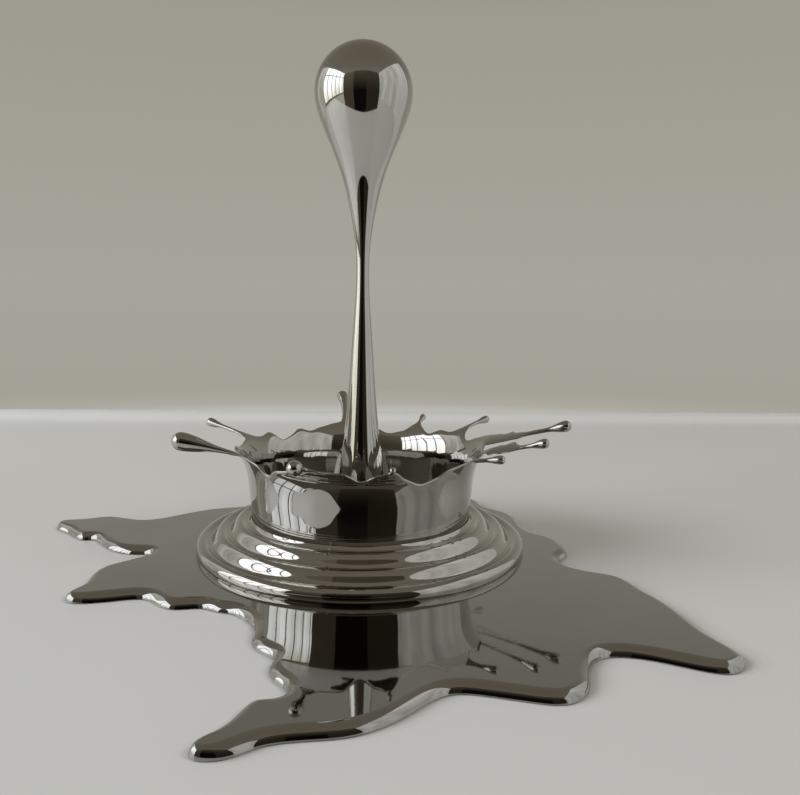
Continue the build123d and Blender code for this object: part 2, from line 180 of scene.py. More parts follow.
class Shell:
    """Points and faces of one closed piece, joined loop by loop."""

    def __init__(self):
        self.points, self.faces = [], []

    def add(self, points):
        """Add points and return their numbers."""
        start = len(self.points)
        self.points += [tuple(map(float, p)) for p in points]
        return list(range(start, len(self.points)))

    def bridge(self, a, b):
        """Join two closed loops, or a loop to a single point, by a band of faces."""
        if len(a) == 1 or len(b) == 1:
            loop, tip = (b, a[0]) if len(a) == 1 else (a, b[0])
            self.faces += [(loop[k], loop[(k + 1) % len(loop)], tip) for k in range(len(loop))]
            return
        n = len(a)
        self.faces += [(a[k], a[(k + 1) % n], b[(k + 1) % n], b[k]) for k in range(n)]

    def lathe(self, profile, steps=LATHE_STEPS):
        """Turn a profile of (r, z) round the axis and return its loops."""
        loops = [
            self.add(circle(r, z, steps)) if r > 0 else self.add([(0, 0, z)]) for r, z in profile
        ]
        for a, b in zip(loops, loops[1:]):
            self.bridge(a, b)
        return loops

    def fill(self, loops, grid=None):
        """Fill the level region between loops with triangles."""
        ids = [i for loop in loops for i in loop]
        flat = np.array([self.points[i] for i in ids])
        z = flat[0, 2]
        ends, start = [], 0
        for loop in loops:
            n = len(loop)
            ends += [(start + k, start + (k + 1) % n) for k in range(n)]
            start += n
        a, b = flat[[e[0] for e in ends], :2], flat[[e[1] for e in ends], :2]

        def inside(places):
            x, y = places[:, :1], places[:, 1:]
            crosses = (a[:, 1] > y) != (b[:, 1] > y)
            rise = np.where(b[:, 1] == a[:, 1], 1, b[:, 1] - a[:, 1])
            right = x < a[:, 0] + (y - a[:, 1]) * (b[:, 0] - a[:, 0]) / rise
            return (crosses & right).sum(1) % 2 == 1

        if grid:
            low, high = flat[:, :2].min(0), flat[:, :2].max(0)
            rows = np.arange(low[1], high[1], grid * GRID_ROW)
            extra = np.array([
                (x + (row % 2) * grid / 2, y) for row, y in enumerate(rows)
                for x in np.arange(low[0], high[0], grid)
            ])
            extra = extra[inside(extra)]
            gap = np.sqrt(((extra[:, None] - flat[None, :, :2]) ** 2).sum(2)).min(1)
            ids += self.add([(x, y, z) for x, y in extra[gap > grid * 0.5]])
        places = [Vector(self.points[i][:2]) for i in ids]
        out, _, triangles, origin, _, _ = geometry.delaunay_2d_cdt(places, ends, [], 0, 1e-7)
        out = np.array([tuple(p) for p in out])
        middles = np.array([out[list(t)].mean(0) for t in triangles])
        for t, kept in zip(triangles, inside(middles)):
            if kept:
                self.faces.append(tuple(ids[origin[v][0]] for v in t))

    def pocket(self, centre, radius, mouth_z, end_z, steps=HOLE_STEPS):
        """A round pocket's wall and end. Returns the loop of its mouth."""
        mouth = self.add(circle(radius, mouth_z, steps, centre))
        end = self.add(circle(radius, end_z, steps, centre))
        self.bridge(mouth, end)
        self.bridge(end, self.add([(*centre, end_z)]))
        return mouth

    def piece(self, name, sharp=35):
        """Make the Blender object. Its normals point outward, and edges over sharp degrees stay crisp."""
        mesh = bpy.data.meshes.new(name)
        mesh.from_pydata([tuple(c * MM for c in p) for p in self.points], [], self.faces)
        work = bmesh.new()
        work.from_mesh(mesh)
        bmesh.ops.recalc_face_normals(work, faces=work.faces)
        work.to_mesh(mesh)
        work.free()
        mesh.shade_smooth()
        if sharp:
            mesh.set_sharp_from_angle(angle=radians(sharp))
        return link(name, mesh)


# ---------------------------------------------------------------- puddle
PUDDLE_ROLL = 4.8  # how far in the rolled edge reaches where there is room
PUDDLE_ROLL_FROM, PUDDLE_ROLL_TO = radians(7), radians(83)  # stretch of a quarter round it follows
PUDDLE_LAND = 0.15  # narrow level band that keeps the border of the flat top crisp
PUDDLE_ROLL_SHARE = 0.85  # of the room that a narrow lobe has
PUDDLE_ROLL_ROWS = 14
ROLL_BLEND_REACH, ROLL_BLEND_PASSES = 6, 12  # how far along the outline the roll's width is evened out


def roll_widths(outline):
    """How far in the rolled edge reaches at each point of the outline, and the inward normals."""
    tangent = np.roll(outline, -1, 0) - np.roll(outline, 1, 0)
    tangent /= np.linalg.norm(tangent, axis=1)[:, None]
    inward = np.stack([-tangent[:, 1], tangent[:, 0]], 1)
    span = outline[None] - outline[:, None]
    ahead = (span * inward[:, None]).sum(2)
    ball = np.where(ahead > 1e-3, (span**2).sum(2) / (2 * np.maximum(ahead, 1e-3)), 1e3).min(1)
    width = np.minimum(PUDDLE_ROLL, PUDDLE_ROLL_SHARE * ball)
    least = np.min([np.roll(width, k) for k in range(-ROLL_BLEND_REACH, ROLL_BLEND_REACH + 1)], 0)
    for _ in range(ROLL_BLEND_PASSES):
        least = (np.roll(least, 1) + 2 * least + np.roll(least, -1)) / 4
    return np.minimum(least, width), inward


def build_puddle():
    shell = Shell()
    outline = closed_curve(PUDDLE_OUTLINE, OUTLINE_STEP)
    width, inward = roll_widths(outline)
    loops = [(width * 0, PAD_STAND)]
    for turn in np.linspace(PUDDLE_ROLL_FROM, PUDDLE_ROLL_TO, PUDDLE_ROLL_ROWS + 1)[1:]:
        across = (cos(PUDDLE_ROLL_FROM) - cos(turn)) / (cos(PUDDLE_ROLL_FROM) - cos(PUDDLE_ROLL_TO))
        rise = (sin(turn) - sin(PUDDLE_ROLL_FROM)) / (sin(PUDDLE_ROLL_TO) - sin(PUDDLE_ROLL_FROM))
        loops.append((width * across, PAD_STAND + (PUDDLE_TOP - PAD_STAND) * rise))
    loops.append((width + PUDDLE_LAND, PUDDLE_TOP))
    rings = []
    for inset, z in loops:
        places = outline + inward * inset[:, None]
        rings.append(shell.add([(x, y, z) for x, y in places]))
    for a, b in zip(rings, rings[1:]):
        shell.bridge(a, b)

    recess_top = shell.add(circle(TARGET_R, PUDDLE_TOP, LATHE_STEPS))
    recess_floor = shell.add(circle(TARGET_R, TARGET_Z, LATHE_STEPS))
    shell.bridge(recess_top, recess_floor)
    shell.fill([rings[-1], recess_top], GRID_STEP)
    holes = [
        shell.pocket(place, SCREW_R, TARGET_Z, PUDDLE_SCREW_Z, SCREW_HOLE_STEPS)
        for place in around(SCREW_PCR, SCREW_COUNT, SCREW_START)
    ]
    shell.fill([recess_floor, *holes], GRID_STEP)
    pads = [shell.pocket(place, PAD_R, PAD_STAND, PAD_ROOF_Z) for place in PAD_PLACES]
    pads.append(shell.pocket((0, 0), PAD_CENTRE_R, PAD_STAND, PAD_ROOF_Z, CENTRE_PAD_STEPS))
    shell.fill([rings[0], *pads], GRID_STEP)
    return shell.piece("cast_puddle")


# ---------------------------------------------------------------- ring
RIPPLE_DEPTH = 1.6  # half the height from trough to crest
RIPPLE_PINCH = 0.11  # how much narrower the troughs are than the crests
RIPPLE_ROWS, ROLL_ROWS = 80, 26
LIP_SOFT_R, LIP_SOFT_DROP = 0.04, 0.1  # small break of the lip's edge


def ripple_height(r):
    """Height of the rippled top: rounded crests with narrow troughs between them."""
    slope = RIPPLE_BASE_Z + (RING_R - r) * RIPPLE_SLOPE
    turn = 2 * pi * (r - RIPPLE_CREST_R) / RIPPLE_PITCH
    drop = RIPPLE_DEPTH * (1 - cos(turn)) - RIPPLE_PINCH * (1 - cos(2 * turn))
    return slope + RIPPLE_HEIGHT - drop


def build_ring():
    shell = Shell()
    roll_r = RING_R - ROLL_R
    top = [(r, ripple_height(r)) for r in np.linspace(RING_LIP_R, roll_r, RIPPLE_ROWS)]
    # the roll runs from the last ripple down to the puddle
    foot = asin((RING_Z - ROLL_Z) / ROLL_R)
    roll = [
        (roll_r + ROLL_R * cos(turn), ROLL_Z + ROLL_R * sin(turn))
        for turn in np.linspace(pi / 2, foot, ROLL_ROWS)
    ]
    lip_z = top[0][1]
    lip = [(RECESS_R, lip_z - RING_LIP_DROP), (RECESS_R + LIP_SOFT_R, lip_z - LIP_SOFT_DROP)]
    loops = shell.lathe([(RECESS_R, SEAT_Z), *lip, *top, *roll[1:]])
    holes = [
        shell.pocket(place, SCREW_R, SEAT_Z, RING_SCREW_Z, SCREW_HOLE_STEPS)
        for place in around(SCREW_PCR, SCREW_COUNT, SCREW_START)
    ]
    shell.fill([loops[0], *holes], GRID_STEP)
    pockets = [
        shell.pocket(place, RING_MAGNET_R, RING_Z, RING_Z + RING_MAGNET_THICK)
        for place in around(RING_MAGNET_PCR, MAGNET_COUNT)
    ]
    shell.fill([loops[-1], *pockets], GRID_STEP)
    return shell.piece("turned_ring")


# ---------------------------------------------------------------- jet
JET_ROW_STEP = 1.3
JET_CHAMFER = 0.25


def build_jet():
    shell = Shell()
    cap = [
        (JET_BULB_R * cos(turn), JET_BULB_Z + JET_BULB_R * sin(turn))
        for turn in np.linspace(0, pi / 2, 5)[:-1]
    ]
    pole = (0, JET_BULB_Z + JET_BULB_R)
    side = [(JET_FOOT_R, JET_Z + JET_FOOT_EDGE), *JET_PROFILE, *cap]
    mirrored = [(-r, z) for r, z in side[::-1]]
    whole = smooth_curve([*side, pole, *mirrored])
    half = whole[:len(side) * SPAN_POINTS + 1]
    half[-1, 0] = 0
    profile = even(half, JET_ROW_STEP)
    bore = [
        (0, JET_Z + JET_SCREW_LENGTH), (JET_SCREW_R, JET_Z + JET_SCREW_LENGTH),
        (JET_SCREW_R, JET_Z + JET_POT_HEIGHT), (JET_POT_R, JET_Z + JET_POT_HEIGHT),
        (JET_POT_R, JET_Z + JET_CHAMFER), (JET_POT_R + JET_CHAMFER, JET_Z),
        (JET_FOOT_R - JET_CHAMFER, JET_Z), (JET_FOOT_R, JET_Z + JET_CHAMFER),
    ]
    shell.lathe([*bore, *profile], JET_STEPS)
    return shell.piece("turned_jet")


# ---------------------------------------------------------------- crown
COLUMNS = 120
COLUMN_STEP = 360 / COLUMNS
BODY_ROWS = [16.5, 16.75, 18, 22, 26.5, 31, 36, 41]
RIM_SHARES = [0.28, 0.52, 0.72, 0.87, 0.96]
RIM_EDGE = 0.45  # how far the rim's rounded edge stands past its last rows
RIM_EDGE_OUTER, RIM_EDGE_INNER = 0.22, 0.78  # shares of the wall where that edge's two rows lie
# Floor inside the crown: inset from the wall and height over the floor of the rows that round the
# corner, then the rows across the floor, round the flange's hole and under it
CORNER_ROWS = [(0.0, 2.2), (0.15, 0.8), (0.9, 0.05), (3.0, 0.0)]
FIRST_INNER_ROW = 4  # the body's rows below this one would lie under the corner
FLOOR_MIDDLE_R, FLANGE_EDGE = 46.0, 0.25
FLANGE_TOP_ROW, FLANGE_FOOT_ROW, WALL_FOOT_ROW = 1.2, 0.6, 0.6  # in from the flange's hole and the wall
SMOOTHING_LEVELS = 2


def rim_height(azimuth):
    """Height of the torn rim at an azimuth, level at each stated point."""
    points = [(RIM[-1][0] - 360, RIM[-1][1]), *RIM, (RIM[0][0] + 360, RIM[0][1])]
    azimuth = (azimuth - RIM[0][0]) % 360 + RIM[0][0]
    for (a, low), (b, high) in zip(points, points[1:]):
        if a <= azimuth <= b:
            share = (azimuth - a) / (b - a)
            return low + (high - low) * (1 - cos(pi * share)) / 2


wall_curve = smooth_curve(CROWN_OUTLINE, per_span=40)


def wall_point(z):
    """Distance from the axis and unit tangent (r, z) of the crown's outer face at a height."""
    step = 0.4
    behind, r, ahead = np.interp([z - step, z, z + step], wall_curve[:, 1], wall_curve[:, 0])
    return r, Vector((ahead - behind, 2 * step)).normalized()


def polar(r, azimuth, z):
    """The place at a distance from the axis, an azimuth in degrees and a height."""
    return Vector((r * cos(radians(azimuth)), r * sin(radians(azimuth)), z))


# Tendrils: first and last azimuth of the root on the rim, azimuth, distance and height of the
# droplet, its radius, length of its taper, bend, tilt in degrees, and sections between root and
# droplet: share of the way, half width, half depth and, for a torn sheet, how far it lies sideways
TENDRILS = [
    (0, 14, -3.6, 112.0, 71.7, 3.1, 1.0, -0.1, 6,
     [(0.08, 8.4, 0.95), (0.18, 7.0, 0.9), (0.27, 6.6, 0.9, 0.2), (0.29, 5.6, 0.9, -0.5),
      (0.37, 5.9, 0.9, 0.3), (0.415, 6.4, 0.9, 1.3), (0.435, 4.6, 0.9, -0.3), (0.49, 4.3, 0.9, -0.4),
      (0.53, 4.2, 0.9, 0.1), (0.55, 2.7, 0.95, -0.2), (0.60, 2.0, 1.0), (0.68, 1.6, 1.20),
      (0.77, 1.35, 1.25)]),
    (-15, -6, -17, 99.5, 66.3, 2.6, 1.0, -0.1, 15,
     [(0.10, 3.8, 0.9), (0.22, 4.6, 0.9, 0.6), (0.33, 5.3, 0.9, 1.4), (0.35, 4.3, 0.9, 0.7),
      (0.46, 5.3, 0.9, 2.0), (0.54, 5.7, 0.9, 2.7), (0.565, 3.5, 0.9, 1.1), (0.61, 3.2, 0.9, 1.0),
      (0.635, 1.8, 1.0, 0.2), (0.70, 1.4, 1.05)]),
    (-36, -30, -31, 81.9, 60.4, 2.3, 1.0, 0.1, 0, [(0.2, 2.2, 1.1), (0.45, 1.4, 1.1)]),
    (27, 36, 33, 91.0, 65.9, 2.3, 1.0, 0.35, 0,
     [(0.10, 3.9, 0.9), (0.20, 2.7, 0.9), (0.32, 1.8, 1.0), (0.46, 1.35, 1.1), (0.62, 1.2, 1.15)]),
    (54, 66, 60, 77.8, 64.3, 1.9, 0.8, 0.15, 0, [(0.16, 3.8, 0.9), (0.34, 2.2, 0.9), (0.52, 1.2, 1.0)]),
    (93, 102, 98, 92.0, 74.2, 3.6, 0.9, 0.3, 0,
     [(0.10, 3.6, 1.0), (0.22, 2.9, 1.2), (0.36, 2.5, 1.6), (0.50, 2.4, 2.0)]),
    (156, 165, 157, 97.0, 65.4, 2.6, 1.1, 0.05, 0,
     [(0.10, 3.4, 0.9), (0.22, 2.1, 0.9), (0.36, 1.4, 1.0), (0.52, 1.15, 1.1), (0.66, 1.2, 1.2)]),
    (-159, -150, -162, 96.5, 67.0, 4.8, 1.5, 0.1, 0,
     [(0.10, 2.8, 1.0), (0.20, 1.9, 1.2), (0.30, 1.6, 1.4)]),
    (-117, -108, -112.5, 80.5, 63.2, 3.7, 0.8, 0.3, 0, [(0.2, 2.8, 1.0)]),
    (-81, -75, -78, 70.5, 61.0, 1.6, 0.6, 0.3, 0, [(0.45, 1.3, 0.9)]),
    (-171, -165, -167, 68.2, 61.0, 0.8, 0.8, 0.2, 0, [(0.3, 1.2, 0.8)]),
]
# Teardrop that ends a tendril: radii behind the droplet's middle, share of the way from neck to droplet
TEARDROP = [
    (3.1, 0.0), (2.3, 0.14), (1.6, 0.42), (1.0, 0.75), (0.4, 0.98), (-0.12, 1.03), (-0.55, 0.88),
    (-0.86, 0.56), (-1.0, 0.2),
]
SECTION_GAP = 0.03  # share of the way left free between the last section and the teardrop
FIRST_SHARE = 0.06  # nearer to the root than this, a short tendril's teardrop is left out
HANDLE_SHARE = 0.4  # how far along the way a tendril's curve is pulled
TILT_END, TILT_FADE = 0.85, 0.25  # share where a sheet's tilt has gone, and how far before it fades


def build_crown():
    shell = Shell()
    azimuths = [COLUMN_STEP * c - 180 for c in range(COLUMNS)]
    heights = [rim_height(azimuth) for azimuth in azimuths]

    def row(place):
        """A closed row of points. place gives (r, z) for the height of the rim."""
        places = [place(height) for height in heights]
        return shell.add([polar(r, azimuth, z) for azimuth, (r, z) in zip(azimuths, places)])

    def level(r, z):
        return row(lambda height: (r, z))

    def outer(z):
        return wall_point(z)[0], z

    def inner(z):
        r, tangent = wall_point(z)
        return r - tangent.y * CROWN_WALL, z + tangent.x * CROWN_WALL

    def rim_rows(face, shares):
        """Rows between the plain body and the torn rim, on the outer or the inner face."""
        return [row(lambda height: face(top_body + (height - top_body) * share)) for share in shares]

    def rim_edge(share):
        """A row of the rim's rounded edge, at a share of the way through the wall."""
        def place(height):
            r, tangent = wall_point(height)
            across = share * CROWN_WALL
            return (
                r - tangent.y * across + tangent.x * RIM_EDGE,
                height + tangent.x * across + tangent.y * RIM_EDGE,
            )
        return row(place)

    top_body = BODY_ROWS[-1]
    outer_rows = [level(*outer(z)) for z in BODY_ROWS] + rim_rows(outer, RIM_SHARES)
    outer_edge = rim_edge(RIM_EDGE_OUTER)
    inner_edge = rim_edge(RIM_EDGE_INNER)
    inner_rows = rim_rows(inner, RIM_SHARES[::-1])
    inner_rows += [level(*inner(z)) for z in BODY_ROWS[FIRST_INNER_ROW:][::-1]]
    wall_r = CROWN_OUTLINE[0][0]
    inner_rows += [level(wall_r - CROWN_WALL - inset, FLANGE_TOP + rise) for inset, rise in CORNER_ROWS]
    inner_rows += [
        level(r, z) for r, z in [
            (FLOOR_MIDDLE_R, FLANGE_TOP), (FLANGE_R + FLANGE_TOP_ROW, FLANGE_TOP),
            (FLANGE_R + FLANGE_EDGE, FLANGE_TOP), (FLANGE_R, FLANGE_TOP - FLANGE_EDGE),
            (FLANGE_R, CROWN_Z + FLANGE_EDGE), (FLANGE_R + FLANGE_EDGE, CROWN_Z),
            (FLANGE_R + FLANGE_FOOT_ROW, CROWN_Z),
        ]
    ]
    foot = level(wall_r - WALL_FOOT_ROW, CROWN_Z)
    for chain in ([foot, *outer_rows, outer_edge], [inner_edge, *inner_rows]):
        for a, b in zip(chain, chain[1:]):
            shell.bridge(a, b)

    taken = set()
    for tendril in TENDRILS:
        taken |= grow_tendril(shell, outer_edge, inner_edge, *tendril)
    for c in range(COLUMNS):
        if c not in taken:
            d = (c + 1) % COLUMNS
            shell.faces.append((outer_edge[c], outer_edge[d], inner_edge[d], inner_edge[c]))

    rough = shell.piece("crown_cage", sharp=None)
    rough.modifiers.new("smooth", "SUBSURF").levels = SMOOTHING_LEVELS
    graph = bpy.context.evaluated_depsgraph_get()
    fine = bpy.data.meshes.new_from_object(rough.evaluated_get(graph))
    cage = rough.data
    bpy.data.objects.remove(rough)
    bpy.data.meshes.remove(cage)

    # the level underside, with the magnets' pockets, closes the two open loops at the foot
    finished = Shell()
    finished.points = [tuple(c / MM for c in v.co) for v in fine.vertices]
    finished.faces = [tuple(p.vertices) for p in fine.polygons]
    loops = open_loops(fine)
    for loop in loops:
        for i in loop:
            x, y, _ = finished.points[i]
            finished.points[i] = (x, y, CROWN_Z)
    pockets = [
        finished.pocket(place, CROWN_MAGNET_R, CROWN_Z, CROWN_Z + CROWN_MAGNET_THICK)
        for place in around(CROWN_MAGNET_PCR, MAGNET_COUNT)
    ]
    finished.fill([*loops, *pockets], GRID_STEP)
    bpy.data.meshes.remove(fine)
    return finished.piece("splash_crown", sharp=50)


def open_loops(mesh):
    """The closed loops of edges that have one face."""
    uses = {}
    for p in mesh.polygons:
        for key in p.edge_keys:
            uses[key] = uses.get(key, 0) + 1
    near = {}
    for (a, b), count in uses.items():
        if count == 1:
            near.setdefault(a, []).append(b)
            near.setdefault(b, []).append(a)
    loops, left = [], set(near)
    while left:
        loop = [min(left)]
        left.discard(loop[0])
        while True:
            ahead = [v for v in near[loop[-1]] if v in left]
            if not ahead:
                break
            loop.append(ahead[0])
            left.discard(ahead[0])
        loops.append(loop)
    return loops


def grow_tendril(
    shell, outer_edge, inner_edge, first, last, azimuth, tip_r, tip_z, droplet, taper, bend, tilt, sections
):
    """Grow a tendril from a stretch of the rim. Returns the columns whose rim it takes."""
    c0, c1 = round((first + 180) / COLUMN_STEP), round((last + 180) / COLUMN_STEP)
    span = c1 - c0
    columns = [c % COLUMNS for c in range(c0, c1 + 1)]
    loop = [outer_edge[c] for c in columns] + [inner_edge[c] for c in columns[::-1]]
    count = len(loop)
    root = sum((Vector(shell.points[i]) for i in loop), Vector()) / count
    tip = polar(tip_r, azimuth, tip_z)
    middle_azimuth = (first + last) / 2
    _, slope = wall_point(root.z)
    leaving = polar(slope.x, middle_azimuth, slope.y).normalized()
    straight = tip - root
    length = straight.length
    pull = (leaving * bend + straight.normalized() * (1 - bend)).normalized()
    handle = root + pull * length * HANDLE_SHARE

    def path(share):
        return root * (1 - share) ** 2 + handle * 2 * share * (1 - share) + tip * share**2

    def heading(share):
        return ((handle - root) * (1 - share) + (tip - handle) * share).normalized()

    reach = droplet / length
    rounding = (2 + cos(2 * pi / count)) / 3  # a smoothed loop of points shrinks by this much
    tail = TEARDROP[0][0] * taper * reach
    body = [section for section in sections if section[0] < 1 - tail - SECTION_GAP]
    neck = min(body[-1][1:3]) if body else droplet / 2
    ball = []
    for back, size in TEARDROP:
        back *= taper if back > 0 else 1
        if 1 - back * reach < FIRST_SHARE:
            continue
        radius = neck + (droplet - neck) * size if back > 0 else droplet * size
        ball.append((1 - back * reach, radius, radius))
    previous = loop
    sideways = polar(1, middle_azimuth + 90, 0)
    for share, half_w, half_d, *aside in [*body, *ball]:
        centre, ahead = path(min(share, 1)), heading(min(share, 1))
        if share > 1:
            centre = tip + ahead * (share - 1) * length
        across = (sideways - ahead * sideways.dot(ahead)).normalized()
        under = ahead.cross(across).normalized()
        if under.z > 0:
            under = -under
        lean = radians(tilt) * min(1, max(0, (TILT_END - share) / TILT_FADE))
        across, under = across * cos(lean) - under * sin(lean), under * cos(lean) + across * sin(lean)
        centre = centre + across * sum(aside)
        ring = []
        for k in range(count):
            turn = pi - (k + 0.5) * pi / (span + 1)
            ring.append(centre + (across * half_w * cos(turn) + under * half_d * sin(turn)) / rounding)
        ring = shell.add(ring)
        shell.bridge(previous, ring)
        previous = ring
    shell.faces.append(tuple(previous))
    return {c % COLUMNS for c in range(c0, c1)}


# ---------------------------------------------------------------- materials
# Each noise: scale for each metre, detail and roughness. Depths are metres.
SMUDGE, SPECK, WAVE, SCRATCH = (22.0, 4.0, 0.6), (700.0, 2.0), (30.0, 1.0), (3500.0, 2.0)
MIRROR_ROUGHNESS, SPECK_ROUGHNESS = (0.015, 0.05), (-0.004, 0.006)
WAVE_DEPTH, SCRATCH_DEPTH = 0.00003, 0.0000006
TURNING, STAIN = (2600.0, 4.0, 0.7), (60.0, 4.0)


def new_material(name, metallic=0.0):
    """A material with its node tree, its shader and the place on the piece that its patterns use."""
    material = bpy.data.materials.new(name)
    material.use_nodes = True
    tree = material.node_tree
    shader = tree.nodes["Principled BSDF"]
    shader.inputs["Metallic"].default_value = metallic
    return material, tree, shader, add(tree, "ShaderNodeTexCoord").outputs["Object"]


def add(tree, kind, **settings):
    """A new node. Each setting goes to the input of that name, or else to the node itself."""
    node = tree.nodes.new(kind)
    for key, value in settings.items():
        if key in node.inputs:
            node.inputs[key].default_value = value
        else:
            setattr(node, key, value)
    return node


def noise(tree, vector, scale, detail=3.0, roughness=0.5):
    """Noise at a place, mostly from 0.3 to 0.7."""
    node = add(tree, "ShaderNodeTexNoise", Scale=scale, Detail=detail, Roughness=roughness)
    tree.links.new(vector, node.inputs["Vector"])
    return node.outputs["Fac"]


def spread(tree, value, low, high, from_low=0.3, from_high=0.7):
    """The value, spread from its own range (a noise keeps near its middle) to low and high."""
    node = add(tree, "ShaderNodeMapRange")
    for key, number in zip(("From Min", "From Max", "To Min", "To Max"), (from_low, from_high, low, high)):
        node.inputs[key].default_value = number
    tree.links.new(value, node.inputs["Value"])
    return node.outputs["Result"]


def tint(tree, value, dark, light):
    """A colour between dark and light."""
    node = add(tree, "ShaderNodeMix", data_type="RGBA")
    tree.links.new(value, node.inputs["Factor"])
    for socket, colour in zip([s for s in node.inputs if s.type == "RGBA"], (dark, light)):
        socket.default_value = (*colour, 1)
    return [s for s in node.outputs if s.type == "RGBA"][0]


def bump(tree, height, distance, under=None):
    """A normal bent by a height, over another bump's normal if there is one."""
    node = add(tree, "ShaderNodeBump", Strength=1.0, Distance=distance)
    tree.links.new(height, node.inputs["Height"])
    if under:
        tree.links.new(under, node.inputs["Normal"])
    return node.outputs["Normal"]


def join(tree, operation, *values):
    """The result of a sum on node outputs."""
    node = add(tree, "ShaderNodeMath", operation=operation)
    for socket, value in zip(node.inputs, values):
        tree.links.new(value, socket)
    return node.outputs["Value"]


def axis_grain(tree, place, settings, keep_height=True):
    """Noise that runs round the axis, as a lathe leaves it."""
    split = add(tree, "ShaderNodeSeparateXYZ")
    tree.links.new(place, split.inputs["Vector"])
    squares = [join(tree, "MULTIPLY", split.outputs[k], split.outputs[k]) for k in "XY"]
    lines = add(tree, "ShaderNodeCombineXYZ")
    tree.links.new(join(tree, "SQRT", join(tree, "ADD", *squares)), lines.inputs["X"])
    if keep_height:
        tree.links.new(split.outputs["Z"], lines.inputs["Z"])
    return noise(tree, lines.outputs["Vector"], *settings)


def mirror_metal(name, dark, light, turned):
    """Polished metal: faint wipe marks in its gloss, a slight waviness and hairline scratches."""
    material, tree, shader, place = new_material(name, metallic=1.0)
    smudge = noise(tree, place, *SMUDGE)
    gloss = spread(tree, smudge, *MIRROR_ROUGHNESS)
    speck = spread(tree, noise(tree, place, *SPECK), *SPECK_ROUGHNESS)
    tree.links.new(join(tree, "ADD", gloss, speck), shader.inputs["Roughness"])
    tree.links.new(tint(tree, spread(tree, smudge, 0, 1), dark, light), shader.inputs["Base Color"])
    if turned:
        scratch = axis_grain(tree, place, SCRATCH)
    else:
        stretch = add(tree, "ShaderNodeMapping", Scale=(1.0, 0.03, 1.0), Rotation=(0.0, 0.0, 0.6))
        tree.links.new(place, stretch.inputs["Vector"])
        scratch = noise(tree, stretch.outputs["Vector"], *SCRATCH)
    waves = bump(tree, noise(tree, place, *WAVE), WAVE_DEPTH)
    tree.links.new(bump(tree, scratch, SCRATCH_DEPTH, waves), shader.inputs["Normal"])
    return material


def turned_steel(name, dark, light, roughness, depth):
    """Machined steel with fine rings round the axis."""
    material, tree, shader, place = new_material(name, metallic=1.0)
    grain = axis_grain(tree, place, TURNING, keep_height=False)
    stain = noise(tree, place, *STAIN)
    gloss = spread(tree, join(tree, "MULTIPLY", grain, stain), *roughness, 0.1, 0.45)
    tree.links.new(tint(tree, grain, dark, light), shader.inputs["Base Color"])
    tree.links.new(gloss, shader.inputs["Roughness"])
    tree.links.new(bump(tree, grain, depth), shader.inputs["Normal"])
    return material


def small_part(name, dark, light, roughness, marks, grain, depth, metallic=1.0):
    """Handling marks over a fine grain. marks and grain are settings of noise."""
    material, tree, shader, place = new_material(name, metallic)
    worn = noise(tree, place, *marks)
    skin = noise(tree, place, *grain)
    tree.links.new(tint(tree, worn, dark, light), shader.inputs["Base Color"])
    tree.links.new(spread(tree, worn, *roughness), shader.inputs["Roughness"])
    tree.links.new(bump(tree, skin, depth), shader.inputs["Normal"])
    return material


def plated_metal(name, dark, light, roughness):
    """Plated small parts, with a fine orange peel."""
    return small_part(name, dark, light, roughness, (260.0, 4.0, 0.6), (1500.0, 2.0), 0.00001)


def rubber(name):
    """Matt black rubber with a moulded grain and dusty wear."""
    dark, light = (0.010, 0.010, 0.011), (0.035, 0.034, 0.033)
    marks, grain = (180.0, 5.0, 0.65), (2600.0, 2.0)
    return small_part(name, dark, light, (0.62, 0.86), marks, grain, 0.00004, metallic=0.0)


def wear(piece, material):
    """Give a piece its only material."""
    piece.data.materials.clear()
    piece.data.materials.append(material)


# ---------------------------------------------------------------- pieces
# builder, node that it replaces, body, colours of the metal, whether it is turned
PIECES = [
    (build_puddle, "puddle", "base", (0.40, 0.395, 0.375), (0.44, 0.435, 0.415), False),
    (build_ring, "ripple_ring", "ring", (0.45, 0.438, 0.408), (0.50, 0.488, 0.458), True),
    (build_crown, "crown", "crown_body", (0.46, 0.452, 0.425), (0.51, 0.502, 0.475), False),
    (build_jet, "jet", "jet_body", (0.48, 0.472, 0.445), (0.53, 0.522, 0.495), True),
]
for build, node, body, dark, light, turned in PIECES:
    piece = build()
    wear(piece, mirror_metal("polished_" + node, dark, light, turned))
    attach(piece, body)
    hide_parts(node)

disc_steel = turned_steel(
    "turned_disc_steel", (0.40, 0.39, 0.37), (0.55, 0.54, 0.52), (0.16, 0.34), 0.00002
)
seat_steel = turned_steel(
    "turned_seat_steel", (0.52, 0.51, 0.48), (0.60, 0.59, 0.56), (0.03, 0.10), 0.000003
)
screw_steel = plated_metal("zinc_screw", (0.48, 0.48, 0.50), (0.62, 0.61, 0.58), (0.22, 0.42))
pot_steel = plated_metal("pot_steel", (0.42, 0.42, 0.42), (0.55, 0.55, 0.54), (0.20, 0.36))
nickel = plated_metal("nickel_magnet", (0.50, 0.485, 0.455), (0.60, 0.585, 0.55), (0.06, 0.16))
pad_rubber = rubber("pad_rubber")
for name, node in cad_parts.items():
    if "pad" in name:
        wear(node, pad_rubber)
    elif "magnet" in name:
        wear(node, nickel)
    elif "screw" in name:
        wear(node, screw_steel)
    elif name == "jet_pot":
        wear(node, pot_steel)
    elif name == "target_disc":
        wear(node, disc_steel)
    elif name == "seat_plate":
        wear(node, seat_steel)


# ---------------------------------------------------------------- stage, lights and camera
# Lengths from here on are metres.
DESK_BACK, DESK_FRONT, DESK_SIDE = 0.43, -0.42, 1.8
DESK_LIP_R = 0.010
DESK_GAP = 0.00005  # keeps the desk just clear of the pads

